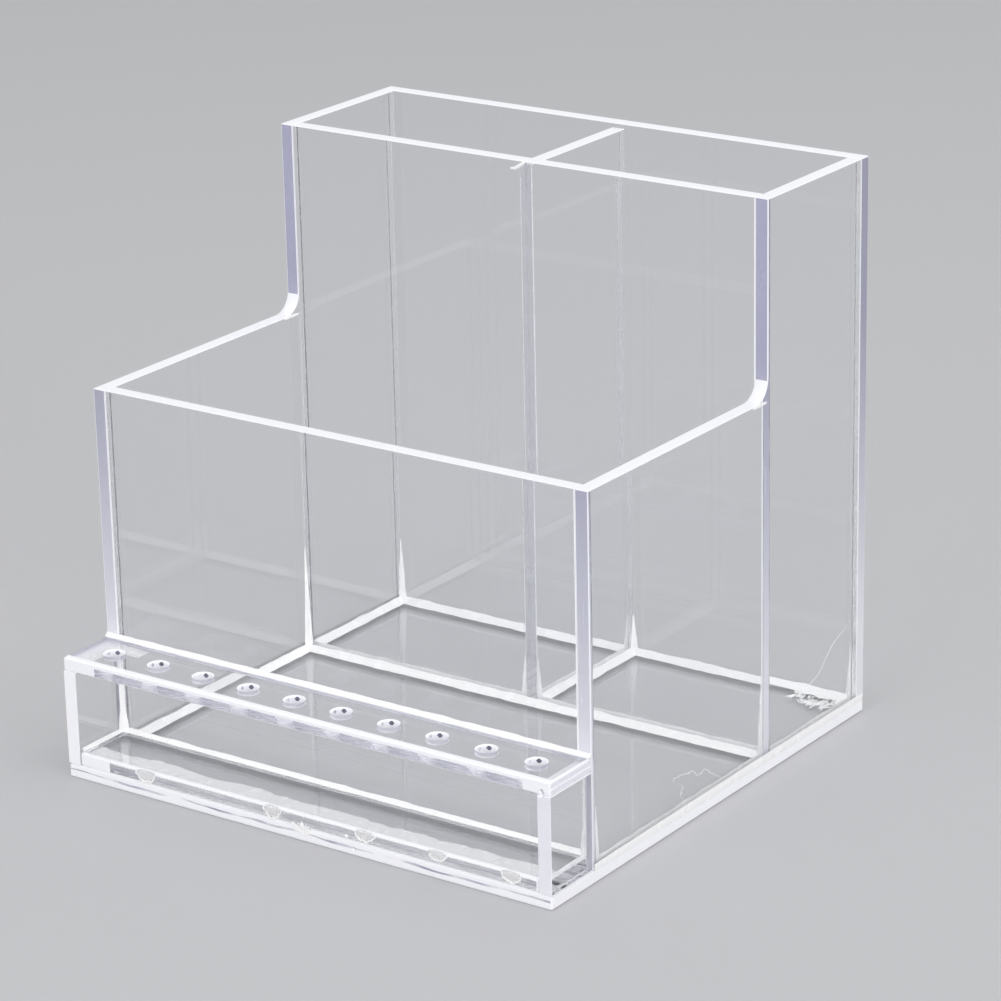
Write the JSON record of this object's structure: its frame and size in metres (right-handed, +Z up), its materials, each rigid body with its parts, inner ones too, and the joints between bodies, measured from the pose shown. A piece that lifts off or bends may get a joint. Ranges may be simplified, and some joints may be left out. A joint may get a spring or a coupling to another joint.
{
  "type": "nail drill bit holder",
  "caption": "Clear acrylic desk holder with a drilled front rack for nail drill bits, a wide low compartment and divided tall rear compartments.",
  "frame": {"origin": "middle of the underside of the base plate", "axes": "+Z up, -Y towards the bit rack at the front, +X to the right seen from the front"},
  "size_m": [0.12, 0.117, 0.121],
  "materials": {
    "clear_acrylic": "polished clear faces, bright sawn edges"
  },
  "bodies": {
    "root": {"base_plate": "clear_acrylic", "back_panel": "clear_acrylic", "left_side_panel": "clear_acrylic", "right_side_panel": "clear_acrylic", "front_panel": "clear_acrylic", "partition_panel": "clear_acrylic", "centre_divider": "clear_acrylic", "rack_top_plate": "clear_acrylic", "rack_left_end": "clear_acrylic", "rack_right_end": "clear_acrylic", "rack_lower_plate": "clear_acrylic"}
  },
  "joints": []
}
